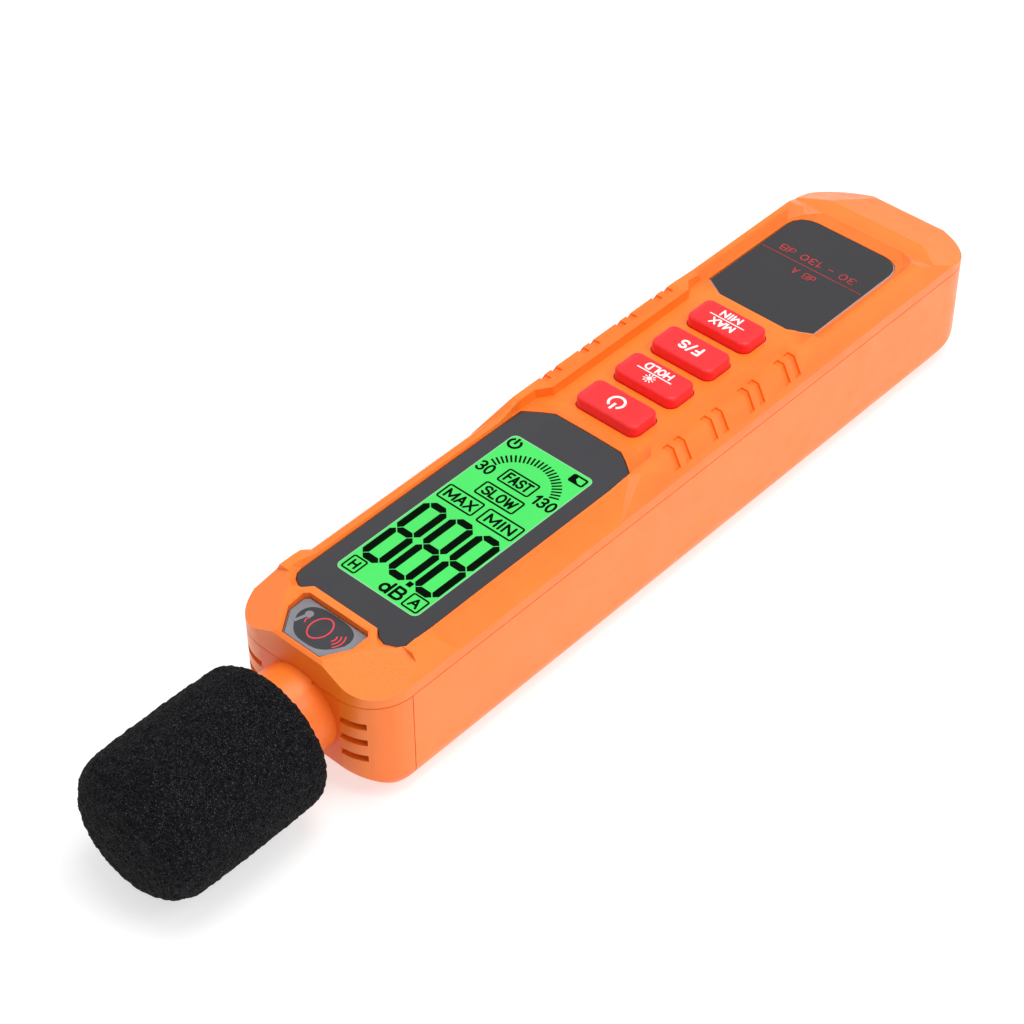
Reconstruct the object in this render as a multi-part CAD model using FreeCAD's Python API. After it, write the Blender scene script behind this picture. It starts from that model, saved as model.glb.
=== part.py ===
import FreeCAD, Part
import math, os

os.makedirs("parts", exist_ok=True)
V = FreeCAD.Vector

# ---------------------------------------------------------------- driving dimensions (mm)
# X across the case, Y along it (microphone end at -Y, tail at +Y), Z up, display side on top.
CASE_HALF_W = 17.3        # half width at the parting line
CASE_FRONT_Y = -63.0      # front face the collar stands on
CASE_TAIL_Y = 102.1
PARTING_Z = 20.7          # front shell / rear shell parting line
FACE_Z = 26.0             # lens and key field plane
LCD_RIM_Z = 26.5
RAIL_Z = 27.7             # top of the rails beside the keys
LABEL_RIM_Z = 26.9
WALL = 1.8
NOSE_SPLIT_Y = -54.4      # nose cap / rear shell joint
BOTTOM_R = 4.2
MIC_AXIS_Z = 13.3
MIC_TUBE_R = 6.35         # 1/2 inch microphone barrel
COLLAR_R = 8.2
COLLAR_END_Y = -69.0
FOAM_R = 13.2
FOAM_X0, FOAM_X1 = -0.3, 1.5      # the soft foam sits a little wide and to one side
FOAM_Y0, FOAM_Y1 = -103.7, -69.05
KEY_Y = [15.0, 25.2, 35.4, 45.6]
KEY_W, KEY_L = 13.8, 6.8
KEY_FLARE = 0.4           # extra width and length at the foot of a key
KEY_TOP_Z = 28.1
KEY_TRAVEL = 0.8
KEY_GAP = 0.14
KEY_R = 1.75                # corner radius of a key's foot and of its hole
PCB_Z0, PCB_T = 15.6, 1.6
DOOR_Y0, DOOR_Y1 = 20.0, 88.4
DOOR_T = 1.8
AAA_D, AAA_L = 10.5, 44.5


# ---------------------------------------------------------------- helpers
def poly(pts, z=0.0):
    v = [V(x, y, z) for x, y in pts]
    return Part.makePolygon(v + [v[0]])


def prism(pts, z0, z1):
    return Part.Face(poly(pts, z0)).extrude(V(0, 0, z1 - z0))


def prism_x(pts_yz, x0, x1):
    v = [V(x0, y, z) for y, z in pts_yz]
    return Part.Face(Part.makePolygon(v + [v[0]])).extrude(V(x1 - x0, 0, 0))


def prism_y(pts_xz, y0, y1):
    v = [V(x, y0, z) for x, z in pts_xz]
    return Part.Face(Part.makePolygon(v + [v[0]])).extrude(V(0, y1 - y0, 0))


def box(x0, x1, y0, y1, z0, z1):
    return Part.makeBox(x1 - x0, y1 - y0, z1 - z0, V(x0, y0, z0))


def cyl_z(x, y, r, z0, z1):
    return Part.makeCylinder(r, z1 - z0, V(x, y, z0), V(0, 0, 1))


def cyl_y(x, z, r, y0, y1):
    return Part.makeCylinder(r, y1 - y0, V(x, y0, z), V(0, 1, 0))


def mirror_pts(half):
    """Closed outline from the +X half listed from -Y to +Y."""
    return half + [(-x, y) for x, y in reversed(half) if abs(x) > 1e-9]


def arc_pts(cx, cy, r, a0, a1, n):
    return [(cx + r * math.cos(math.radians(a0 + (a1 - a0) * i / n)),
             cy + r * math.sin(math.radians(a0 + (a1 - a0) * i / n))) for i in range(n + 1)]


def arc3(p0, p1, r, c, z):
    """Arc edge from p0 to p1 about c at height z."""
    m = ((p0[0] + p1[0]) / 2 - c[0], (p0[1] + p1[1]) / 2 - c[1])
    k = r / math.hypot(*m)
    return Part.Arc(V(p0[0], p0[1], z), V(c[0] + m[0] * k, c[1] + m[1] * k, z),
                    V(p1[0], p1[1], z)).toShape()


def outline_face(inset, z):
    """Plan outline of the case at the parting line, moved inwards by inset."""
    w = CASE_HALF_W - inset
    f = CASE_FRONT_Y + inset
    t = CASE_TAIL_Y - inset
    rf, rt = 8.4 - inset, 9.8 - inset
    e = []
    e.append(Part.makeLine(V(-w + rf, f, z), V(w - rf, f, z)))
    e.append(arc3((w - rf, f), (w, f + rf), rf, (w - rf, f + rf), z))
    e.append(Part.makeLine(V(w, f + rf, z), V(w, t - rt, z)))
    e.append(arc3((w, t - rt), (w - rt, t), rt, (w - rt, t - rt), z))
    e.append(Part.makeLine(V(w - rt, t, z), V(-w + rt, t, z)))
    e.append(arc3((-w + rt, t), (-w, t - rt), rt, (-w + rt, t - rt), z))
    e.append(Part.makeLine(V(-w, t - rt, z), V(-w, f + rf, z)))
    e.append(arc3((-w, f + rf), (-w + rf, f), rf, (-w + rf, f + rf), z))
    return Part.Face(Part.Wire(e))


def outline_prism(inset, z0, z1):
    return outline_face(inset, z0).extrude(V(0, 0, z1 - z0))


def rrect(w, l, r, cx, cy, z):
    x0, x1, y0, y1 = cx - w / 2, cx + w / 2, cy - l / 2, cy + l / 2
    e = [Part.makeLine(V(x0 + r, y0, z), V(x1 - r, y0, z)),
         arc3((x1 - r, y0), (x1, y0 + r), r, (x1 - r, y0 + r), z),
         Part.makeLine(V(x1, y0 + r, z), V(x1, y1 - r, z)),
         arc3((x1, y1 - r), (x1 - r, y1), r, (x1 - r, y1 - r), z),
         Part.makeLine(V(x1 - r, y1, z), V(x0 + r, y1, z)),
         arc3((x0 + r, y1), (x0, y1 - r), r, (x0 + r, y1 - r), z),
         Part.makeLine(V(x0, y1 - r, z), V(x0, y0 + r, z)),
         arc3((x0, y0 + r), (x0 + r, y0), r, (x0 + r, y0 + r), z)]
    return Part.Wire(e)


def rbox(w, l, r, cx, cy, z0, z1):
    return Part.Face(rrect(w, l, r, cx, cy, z0)).extrude(V(0, 0, z1 - z0))


def flat_solid(a, b):
    """Closed solid between two vertex rings of equal count, every side made of plane facets."""
    n = len(a)
    faces = [Part.Face(Part.makePolygon(a + [a[0]])), Part.Face(Part.makePolygon(b + [b[0]]))]
    for i in range(n):
        j = (i + 1) % n
        q = [a[i], a[j], b[j], b[i]]
        nrm = (q[1] - q[0]).cross(q[2] - q[0])
        if nrm.Length > 1e-9 and abs((q[3] - q[0]).dot(nrm.normalize())) < 1e-6:
            faces.append(Part.Face(Part.makePolygon(q + [q[0]])))
        else:
            for t in ((q[0], q[1], q[2]), (q[0], q[2], q[3])):
                if (t[1] - t[0]).cross(t[2] - t[0]).Length > 1e-7:
                    faces.append(Part.Face(Part.makePolygon(list(t) + [t[0]])))
    sol = Part.makeSolid(Part.makeShell(faces))
    if sol.Volume < 0:
        sol.reverse()
    return sol


def loft(p0, z0, p1, z1):
    return flat_solid([V(x, y, z0) for x, y in p0], [V(x, y, z1) for x, y in p1])


def clean(s):
    s = s.removeSplitter()
    return s


def save(name, shape):
    if isinstance(shape, (list, tuple)):
        shape = Part.makeCompound(list(shape))
    n = len(shape.Solids)
    ok = shape.isValid()
    print("%-22s solids %d valid %s vol %.2f faces %d" % (name, n, ok, shape.Volume, len(shape.Faces)))
    if n == 1 and shape.ShapeType != "Solid":
        shape = shape.Solids[0]
    shape.exportStep("parts/%s.step" % name)


# ---------------------------------------------------------------- plan outlines
LENS = mirror_pts([(0, -51.4), (6.9, -51.4), (8.0, -52.4), (9.6, -52.8), (11.5, -51.9), (12.4, -50.7),
                   (12.65, -49.4), (12.65, 4.0), (9.5, 6.3), (7.5, 7.5), (0, 7.6)])
LABEL = mirror_pts([(0, 53.3), (7.8, 53.3), (12.25, 55.7), (12.25, 79.0), (11.9, 80.7), (10.9, 82.1),
                    (9.5, 82.9), (7.8, 83.2), (0, 83.2)])
BADGE = mirror_pts([(0, -62.0), (4.2, -62.0), (7.2, -57.6), (7.3, -54.2), (6.6, -53.4), (0, -53.4)])


def grow(half, d):
    """Move every vertex of a mirrored outline outwards by d along its bisector."""
    n = len(half)
    out = []
    area = sum(half[i][0] * half[(i + 1) % n][1] - half[(i + 1) % n][0] * half[i][1] for i in range(n))
    sgn = 1.0 if area > 0 else -1.0
    for i in range(n):
        p, q, r = half[i - 1], half[i], half[(i + 1) % n]
        a = (q[0] - p[0], q[1] - p[1])
        b = (r[0] - q[0], r[1] - q[1])
        la, lb = math.hypot(*a), math.hypot(*b)
        na = (a[1] / la * sgn, -a[0] / la * sgn)
        nb = (b[1] / lb * sgn, -b[0] / lb * sgn)
        m = (na[0] + nb[0], na[1] + nb[1])
        k = 2.0 / (m[0] ** 2 + m[1] ** 2)
        out.append((q[0] + m[0] * k * d / 1.0, q[1] + m[1] * k * d / 1.0))
    return out


# ---------------------------------------------------------------- front shell
full = [(17.3, PARTING_Z - 0.1), (17.3, 23.0), (14.49, 28.4)]
sect = [(x, z) for x, z in full] + [(-x, z) for x, z in reversed(full)]
side = [(-63.3, PARTING_Z - 0.1), (-63.0, 22.2), (-62.85, 26.0), (-62.3, 26.45), (-54.5, 27.2),
        (-49.0, 27.2), (-45.5, LCD_RIM_Z), (-1.5, LCD_RIM_Z), (4.5, RAIL_Z), (48.5, RAIL_Z),
        (54.5, LABEL_RIM_Z), (83.5, LABEL_RIM_Z), (86.8, 25.3), (91.3, 25.0), (101.2, 22.0),
        (102.3, 21.2), (102.3, PARTING_Z - 0.1)]
top = outline_prism(0.0, PARTING_Z, 29.0)
top = top.common(prism_y(sect, -70, 110)).common(prism_x(side, -20, 20))

# waist beside the display: a deeper chamfer with slanted end facets
for s in (1, -1):
    def wp(y_lo, y_hi, z_lo, z_hi):
        # chamfer plane (17.3,22.8)-(14.2,26.5) carried on upwards, closed well outside the case
        xs = lambda z: 17.3 - (z - 22.8) * (17.3 - 14.2) / (26.5 - 22.8)
        return [V(s * xs(z_lo), y_lo, z_lo), V(s * xs(z_hi), y_hi, z_hi)]
    z_lo, z_hi = 22.4, 28.8
    a_in = wp(-42.6, -47.6, z_lo, z_hi)      # microphone-side end, inner edge line
    b_in = wp(-4.6, 4.8, z_lo, z_hi)         # key-side end, inner edge line
    # end facets: one plane each through the inner edge line and an outer point level with it
    def far(p, q, y_at):
        # point at |X| 19.5 on the plane through p, q and (19.5, y_at, p.z), at the height of q
        r = V(s * 19.5, y_at, p.z)
        n = (q - p).cross(r - p)
        return [r, V(s * 19.5, q.y - (n.x * (s * 19.5 - q.x)) / n.y, q.z)]
    a_out = far(a_in[0], a_in[1], -44.0)
    b_out = far(b_in[0], b_in[1], -3.2)
    top = top.cut(flat_solid([a_in[0], a_in[1], a_out[1], a_out[0]], [b_in[0], b_in[1], b_out[1], b_out[0]]))

# head corners: broad facet from the badge frame down to the corner
for s in (1, -1):
    p1, p2, p3 = V(s * 9.6, -56.0, 27.0), V(s * 5.6, -63.0, 26.0), V(s * 15.6, -61.3, 21.9)
    n = (p2 - p1).cross(p3 - p1)
    n.normalize()
    if n.z < 0:
        n = n * -1
    u = (p2 - p1).normalize()
    w = n.cross(u).normalize()
    c = p1 + (p3 - p1) * 0.5
    q = [c + u * a + w * b for a, b in ((-25, -25), (25, -25), (25, 25), (-25, 25))]
    cutter = Part.Face(Part.makePolygon(q + [q[0]])).extrude(n * 14)
    cutter = cutter.common(box(3.0 if s > 0 else -25, 25 if s > 0 else -3.0, -80, -52.0, 15, 45))
    top = top.cut(cutter)

# tail corners fall away from the label rim to the parting line
for s in (1, -1):
    p1, p2, p3 = V(s * 15.3, 88.0, 25.2), V(s * 9.0, 99.5, 22.2), V(s * 14.4, 99.3, 20.95)
    n = (p2 - p1).cross(p3 - p1)
    n.normalize()
    if n.z < 0:
        n = n * -1
    u = (p2 - p1).normalize()
    w = n.cross(u).normalize()
    q = [p1 + u * a + w * b for a, b in ((-22, -22), (26, -22), (26, 22), (-22, 22))]
    cutter = Part.Face(Part.makePolygon(q + [q[0]])).extrude(n * 12)
    top = top.cut(cutter.common(box(2.0 if s > 0 else -25, 25 if s > 0 else -2.0, 84.5, 110, 15, 45)))

# sunken field: lens pocket with flared walls, key field, label field
up = [(0, -52.0), (7.3, -52.0), (8.9, -53.9), (10.4, -55.0), (12.8, -54.0), (13.9, -52.0),
      (13.7, -48.6), (13.35, 4.6), (9.5, 12.0), (7.5, 14.0), (0, 14.0)]
top = top.cut(loft(grow(LENS, 0.08), FACE_Z, mirror_pts(up), 27.9))
field_lo = mirror_pts([(0, 2.0), (12.9, 2.0), (12.9, 8.6), (11.1, 11.3), (11.1, 48.3), (12.9, 51.0), (12.9, 58.0), (0, 58.0)])
field_hi = mirror_pts([(0, 2.0), (13.35, 2.0), (13.35, 8.3), (11.45, 11.1), (11.45, 48.5), (13.7, 51.0), (13.9, 58.0), (0, 58.0)])
field = loft(field_lo, 25.95, field_hi, 27.9)
lab_lo = mirror_pts([(0, 54.0), (12.75, 54.0), (12.75, 80.0), (11.8, 83.5), (9.0, 86.5), (0, 88.5)])
lab_hi = mirror_pts([(0, 54.0), (14.35, 54.0), (14.35, 82.0), (13.6, 86.0), (11.5, 89.5), (0, 92.0)])
labf = loft(lab_lo, 25.35, lab_hi, 27.4)
# field floor falls gently from the lens to the tail
floor = prism_x([(0.0, 40), (0.0, FACE_Z), (8.0, FACE_Z), (51.5, 25.75), (84.0, 25.4), (100, 25.2), (100, 40)], -20, 20)
lab_slope = labf
top = top.cut(field.common(floor)).cut(lab_slope.common(floor))

# seats for lens, label and badge, and the openings behind them
top = top.cut(prism(grow(LENS, 0.08), 24.8, 29.0))
top = top.cut(prism(grow(LABEL, 0.12), 24.85, 29.0))
top = top.cut(prism(grow(BADGE, 0.1), 25.35, 29.0))
top = top.cut(rbox(19.0, 46.0, 1.2, 0, -23.2, 23.0, 26.0))
top = top.cut([rbox(KEY_W + KEY_FLARE + 2 * KEY_GAP, KEY_L + KEY_FLARE + 2 * KEY_GAP, KEY_R + KEY_GAP, 0, ky, 23.0, 29.0) for ky in KEY_Y])

# rib grooves over the rail edge and down the chamfer, in pairs
grooves = []
for s in (1, -1):
    for y0 in (11.9, 22.1, 32.3, 42.5):
        for dy in (0.0, 2.95):
            ya, yb = y0 + dy - 0.45, y0 + dy + 1.0
            pts = [(13.3, 27.4), (14.6, 27.35), (16.2, 24.3), (17.9, 24.3), (17.9, 29.2), (13.3, 29.2)]
            grooves.append(prism_y([(s * x, z) for x, z in pts], ya, yb))
top = top.cut(grooves)

# hollow from below
cav = box(-14.3, 14.3, -49.5, 84.5, 15.0, 23.9)
cav = cav.cut(prism_y([(15.0, 22.3), (15.0, 25), (12.9, 25)], -60, 100)).cut(
    prism_y([(-15.0, 22.3), (-15.0, 25), (-12.9, 25)], -60, 100))
cav = cav.fuse(box(-9.5, 9.5, -59.5, -49.5, 15.0, 23.6)).fuse(box(-13.0, 13.0, 84.5, 95.0, 15.0, 22.0))
top = top.cut(cav)
# screw posts and lens/LCD ledge stay inside
SCREWS = [(13.0, -44.0), (-13.0, -44.0), (11.0, 92.0), (-11.0, 92.0)]
top = top.fuse([cyl_z(sx, sy, 2.1, PARTING_Z, 22.6 if sy > 80 else 24.2) for sx, sy in SCREWS])
top = top.cut([cyl_z(sx, sy, 1.0, PARTING_Z - 1, 22.0 if sy > 80 else 23.2) for sx, sy in SCREWS])
# room for the microphone collar, which belongs to the nose cap
top = top.cut(cyl_y(0, MIC_AXIS_Z, COLLAR_R + 0.06, -72.0, -59.9))
# parting-line shadow gap
ring = outline_prism(-0.5, PARTING_Z - 0.09, PARTING_Z + 0.09).cut(outline_prism(0.35, PARTING_Z - 1, PARTING_Z + 1))
top = clean(top.cut(ring))
save("front_shell", top)

# ---------------------------------------------------------------- lower body, split into rear shell and nose cap
low = outline_prism(0.0, 0.0, PARTING_Z)
low = low.makeFillet(BOTTOM_R, [e for e in low.Edges if e.BoundBox.ZMax < 0.01])
low = low.common(prism_x([(-63.4, 4.9), (-57.5, 1.7), (-50.5, 0.0), (81.0, 0.0), (91.0, 2.37), (102.5, 6.3), (102.5, 30), (-63.4, 30)], -20, 20))
inner = outline_prism(WALL, 1.8, PARTING_Z + 1).common(
    prism_x([(-61.2, 6.0), (-56.0, 3.4), (-49.0, 1.8), (80.0, 1.8), (91.0, 4.3), (100.4, 7.8), (100.4, 30), (-61.2, 30)], -20, 20))
lowc = low.cut(inner)

rear = lowc.common(box(-30, 30, NOSE_SPLIT_Y, 120, -5, 40))
nose = lowc.common(box(-30, 30, -90, NOSE_SPLIT_Y, -5, 40))

# rear shell: battery compartment opening on the underside
rear = rear.fuse(box(-13.6, 13.6, 21.6, 79.0, 1.0, 14.4).common(low))
rear = rear.cut(box(-11.5, 11.5, 23.0, 77.6, -1.0, 13.2))
rear = rear.cut(box(-12.3, 12.3, DOOR_Y0 - 0.3, 110.0, -1.0, 2.1))
rear = rear.cut(box(-13.3, 13.3, DOOR_Y0 - 0.3, 110.0, 0.75, 2.1))
rear = rear.fuse(box(-15.4, 15.4, 79.0, 80.4, 2.1, 14.4).common(low)).fuse(
    box(-13.6, 13.6, 79.0, 92.0, 2.1, 3.6).common(low))
# keep the floor beyond the compartment closed above the door slot
for sx, sy in SCREWS:
    rear = rear.fuse(cyl_z(sx, sy, 2.6, 0.9 if sy < 0 else 2.9, PARTING_Z).common(low))
for sx, sy in SCREWS:
    z0 = 0.0 if sy < 0 else 2.3
    rear = rear.cut(cyl_z(sx, sy, 1.25, -1, PARTING_Z + 1)).cut(cyl_z(sx, sy, 2.15, -1, z0 + 4.2))
# board rests
rests = [(-14.2, -30), (14.2, -30), (-14.2, 14), (14.2, 14), (-14.2, 74), (14.2, 74)]
for sx, sy in rests:
    rear = rear.fuse(box(sx - 1.6, sx + 1.6, sy - 1.5, sy + 1.5, 1.0, PCB_Z0).common(low))
rear = rear.cut(box(-13.3, 13.3, DOOR_Y0 - 0.3, 110.0, 0.75, 2.1)).cut(box(-12.3, 12.3, DOOR_Y0 - 0.3, 110.0, -1.0, 2.1))
split = box(-30, 30, NOSE_SPLIT_Y - 0.09, NOSE_SPLIT_Y + 0.09, -5, PARTING_Z).cut(
    box(-16.95, 16.95, -90, 90, 0.4, 40))
rear = clean(rear.cut(ring).cut(split))
save("rear_shell", rear)

# nose cap: vents either side and the collar
nose = nose.fuse(cyl_y(0, MIC_AXIS_Z, 10.4, -62.9, -57.5).common(low).common(box(-20, 20, -70, -50, 0, PARTING_Z - 0.3)))
nose = nose.fuse(cyl_y(0, MIC_AXIS_Z, COLLAR_R, COLLAR_END_Y, -60.0))
nose = nose.cut(cyl_y(0, MIC_AXIS_Z, MIC_TUBE_R + 0.02, -90, -40))
for vz in (16.3, 12.6, 8.9):
    for s in (1, -1):
        v = box(min(s * 8.9, s * 13.7), max(s * 8.9, s * 13.7), -64, -58.5, vz - 0.7, vz + 0.7)
        nose = nose.cut(v.cut(cyl_y(0, MIC_AXIS_Z, 8.7, -70, -50)))
nose = nose.cut(ring).cut(split)
col = cyl_y(0, MIC_AXIS_Z, 9.0, COLLAR_END_Y - 1, COLLAR_END_Y + 0.8).cut(
    Part.makeCone(COLLAR_R - 0.7, COLLAR_R + 0.1, 0.8, V(0, COLLAR_END_Y, MIC_AXIS_Z), V(0, 1, 0)).fuse(
        cyl_y(0, MIC_AXIS_Z, COLLAR_R - 0.7, COLLAR_END_Y - 1, COLLAR_END_Y)))
nose = clean(nose.cut(col))
save("nose_cap", nose)

# ---------------------------------------------------------------- lens, label, badge
lens = prism(LENS, 24.8, FACE_Z)
try:
    es = [e for e in lens.Edges if e.BoundBox.ZMin > FACE_Z - 0.01]
    lens = lens.makeChamfer(0.15, es)
except Exception:
    print("lens chamfer skipped")
save("display_lens", lens)
lab = prism(LABEL, 24.85, 25.55)
lab = lab.makeChamfer(0.22, [e for e in lab.Edges if e.BoundBox.ZMin > 25.54])
save("nameplate", lab)
bad = prism(BADGE, 25.35, 26.15)
bad = bad.makeChamfer(0.15, [e for e in bad.Edges if e.BoundBox.ZMin > 26.14])
save("badge_plate", bad)

# ---------------------------------------------------------------- display stack
save("lcd_glass", rbox(21.0, 48.0, 0.4, 0, -23.2, 21.3, 23.9))
save("backlight_panel", rbox(20.0, 46.0, 0.6, 0, -23.2, 18.2, 20.9))
hold = box(-11.6, 11.6, -48.9, 2.5, PCB_Z0 + PCB_T, 21.3)
hold = hold.cut([box(-10.1, 10.1, -46.4, 0.0, 18.2, 22.0), box(-8.5, 8.5, -44, -2.5, 15.0, 19.0)])
hold = hold.cut([cyl_z(sx, -44.0, 2.85, 10, 30) for sx in (13.0, -13.0)])
save("display_holder", hold)
save("lcd_connector", [box(-8.2, 8.2, -43.2, -41.4, PCB_Z0 + PCB_T, 18.2)])

# ---------------------------------------------------------------- keys
names = ["key_power", "key_hold", "key_fast_slow", "key_max_min"]
for nm, ky in zip(names, KEY_Y):
    fw, fl = KEY_W + KEY_FLARE, KEY_L + KEY_FLARE
    cap = Part.makeLoft([rrect(fw, fl, KEY_R, 0, ky, 25.4), rrect(KEY_W, KEY_L, KEY_R - 0.3, 0, ky, KEY_TOP_Z)], True, True)
    try:
        es = [e for e in cap.Edges if e.BoundBox.ZMin > KEY_TOP_Z - 0.01]
        cap = cap.makeFillet(0.62, es)
    except Exception:
        print("key fillet skipped")
    k = cap.fuse(rbox(fw, fl, KEY_R, 0, ky, 23.3, 25.4)).fuse(rbox(15.2, 8.5, 2.6, 0, ky, 22.8, 23.5))
    k = k.fuse(box(-2.6, 2.6, ky - 1.6, ky + 1.6, 18.9, 22.9))
    save(nm, clean(k))

mat = rbox(21.0, 43.6, 2.0, 0, 30.3, 20.4, 21.2)
for ky in KEY_Y:
    mat = mat.cut(box(-3.2, 3.2, ky - 2.2, ky + 2.2, 19, 23))
for ky in (9.35, 51.25):
    for sx in (-8.8, 8.8):
        mat = mat.fuse(cyl_z(sx, ky, 0.75, 20.6, 23.9))
for ky in (20.1, 30.3, 40.5):
    for sx in (-9.4, 9.4):
        mat = mat.fuse(cyl_z(sx, ky, 0.75, PCB_Z0 + PCB_T, 23.9).common(box(-20, 20, 0, 90, PCB_Z0 + PCB_T, 23.9)))
save("keypad_frame", clean(mat))
domes = []
for ky in KEY_Y:
    d = Part.makeCone(2.6, 1.6, 0.6, V(0, ky, PCB_Z0 + PCB_T), V(0, 0, 1))
    domes.append(d)
save("dome_switches", domes)

# ---------------------------------------------------------------- circuit board and parts on it
pcb = box(-13.4, 13.4, -49.2, 79.0, PCB_Z0, PCB_Z0 + PCB_T)
for sx, sy in SCREWS:
    pcb = pcb.cut(cyl_z(sx, sy, 2.9, 10, 20))
PSCREW = [(-10.8, 6.0), (10.8, 6.0), (-10.8, 70.0), (10.8, 70.0)]
for sx, sy in PSCREW:
    pcb = pcb.cut(cyl_z(sx, sy, 0.85, 10, 20))
save("main_board", clean(pcb))
z = PCB_Z0
comps = [box(-5.0, 5.0, -34.0, -24.0, z - 1.6, z), box(5.6, 9.4, -20.0, -15.0, z - 1.4, z),
         box(-9.0, -5.5, -18.0, -14.2, z - 1.4, z), box(-2.2, 2.2, -14.0, -10.0, z - 1.2, z),
         cyl_z(7.6, -30.0, 2.0, z - 4.4, z), cyl_z(-8.2, -36.0, 2.0, z - 4.4, z),
         box(-3.4, 3.4, 60.0, 66.0, z + PCB_T, z + PCB_T + 1.6), box(4.8, 8.8, 56.0, 58.4, z + PCB_T, z + PCB_T + 1.1),
         box(-8.8, -5.2, 57.0, 61.0, z + PCB_T, z + PCB_T + 1.3)]
save("board_components", comps)
save("quartz_crystal", rbox(10.4, 3.8, 1.8, 0, -4.0, z - 3.4, z))
screws = []
for sx, sy in PSCREW:
    screws.append(cyl_z(sx, sy, 1.6, z + PCB_T, z + PCB_T + 1.0).fuse(cyl_z(sx, sy, 0.8, z - 1.2, z + PCB_T)))
save("board_screws", screws)

# ---------------------------------------------------------------- microphone
tube = cyl_y(0, MIC_AXIS_Z, MIC_TUBE_R, -90.0, -57.0).cut(cyl_y(0, MIC_AXIS_Z, 5.4, -91, -50))
save("mic_barrel", tube)
save("mic_capsule", cyl_y(0, MIC_AXIS_Z, 4.85, -88.6, -82.6))
gas = cyl_y(0, MIC_AXIS_Z, 5.4, -88.0, -83.0).cut(cyl_y(0, MIC_AXIS_Z, 4.85, -90, -80))
save("mic_gasket", gas)
gr = cyl_y(0, MIC_AXIS_Z, 5.4, -90.0, -89.2)
holes = [(0, 0)] + [(2.0 * math.cos(math.radians(60 * i)), 2.0 * math.sin(math.radians(60 * i))) for i in range(6)] + \
        [(3.9 * math.cos(math.radians(30 * i + 15)), 3.9 * math.sin(math.radians(30 * i + 15))) for i in range(12)]
for hx, hz in holes:
    gr = gr.cut(cyl_y(hx, MIC_AXIS_Z + hz, 0.6, -91, -88))
save("mic_grille", gr)
# lead pair from capsule to board
leads = []
for s in (1, -1):
    e = [V(s * 1.2, -82.6, MIC_AXIS_Z), V(s * 1.2, -55.0, MIC_AXIS_Z), V(s * 1.2, -51.0, MIC_AXIS_Z - 0.6), V(s * 1.2, -46.5, MIC_AXIS_Z + 0.6), V(s * 1.2, -45.6, PCB_Z0)]
    bs = Part.BSplineCurve()
    bs.interpolate([V(s * 1.2, -82.6, MIC_AXIS_Z), V(s * 1.2, -66.0, MIC_AXIS_Z), V(s * 1.2, -53.0, MIC_AXIS_Z - 0.8),
                    V(s * 1.2, -47.2, MIC_AXIS_Z + 0.6), V(s * 1.2, -46.2, PCB_Z0)])
    path = Part.Wire([bs.toShape()])
    prof = Part.Wire([Part.makeCircle(0.5, V(s * 1.2, -82.6, MIC_AXIS_Z), V(0, 1, 0))])
    leads.append(path.makePipeShell([prof], True, True))
save("mic_leads", leads)

# foam windscreen
fz0, fz1 = MIC_AXIS_Z - FOAM_R, MIC_AXIS_Z + FOAM_R
edge = [Part.makeLine(V(FOAM_X0, FOAM_Y0, fz1), V(FOAM_X1, FOAM_Y0, fz1)),
        Part.Arc(V(FOAM_X1, FOAM_Y0, fz1), V(FOAM_X1 + FOAM_R, FOAM_Y0, MIC_AXIS_Z), V(FOAM_X1, FOAM_Y0, fz0)).toShape(),
        Part.makeLine(V(FOAM_X1, FOAM_Y0, fz0), V(FOAM_X0, FOAM_Y0, fz0)),
        Part.Arc(V(FOAM_X0, FOAM_Y0, fz0), V(FOAM_X0 - FOAM_R, FOAM_Y0, MIC_AXIS_Z), V(FOAM_X0, FOAM_Y0, fz1)).toShape()]
foam = Part.Face(Part.Wire(edge)).extrude(V(0, FOAM_Y1 - FOAM_Y0, 0))
ef = [e for e in foam.Edges if e.BoundBox.YLength < 0.01 and e.BoundBox.YMax < -100]
foam = foam.makeFillet(6.6, ef)
eb = [e for e in foam.Edges if e.BoundBox.YLength < 0.01 and e.BoundBox.YMin > -70]
foam = foam.makeFillet(3.4, eb)
foam = foam.cut(cyl_y(0, MIC_AXIS_Z, MIC_TUBE_R + 0.1, -90.4, -60))
save("foam_windscreen", foam)

# ---------------------------------------------------------------- battery door, cells and contacts
door = box(-12.0, 12.0, DOOR_Y0, 95.0, 0.0, DOOR_T).fuse(box(-13.0, 13.0, DOOR_Y0, 95.0, 1.05, DOOR_T))
door = door.common(prism_x([(0, 0), (81.0, 0.0), (89.0, 1.9), (0, 1.9)], -20, 20))
door = door.common(box(-20, 20, 0, DOOR_Y1 - 1.6, -1, 3))
for i in range(6):
    door = door.cut(prism_x([(66.0 + 2.0 * i, -0.1), (66.5 + 2.0 * i, 0.45), (67.0 + 2.0 * i, -0.1)], -7.0, 7.0))
save("battery_door", clean(door))
CX, CZ = 5.6, 7.6
cells = []
for i, s in enumerate((1, -1)):
    # tail end positive on one cell, head end positive on the other
    y0, y1 = 28.6, 28.6 + AAA_L
    if s > 0:
        b = cyl_y(s * CX, CZ, AAA_D / 2 - 0.05, y0, y1 - 1.0).fuse(cyl_y(s * CX, CZ, 1.9, y1 - 1.0, y1))
    else:
        b = cyl_y(s * CX, CZ, AAA_D / 2 - 0.05, y0 + 1.0, y1).fuse(cyl_y(s * CX, CZ, 1.9, y0, y0 + 1.0))
    save("battery_cell_%d" % (i + 1), b)


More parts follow.
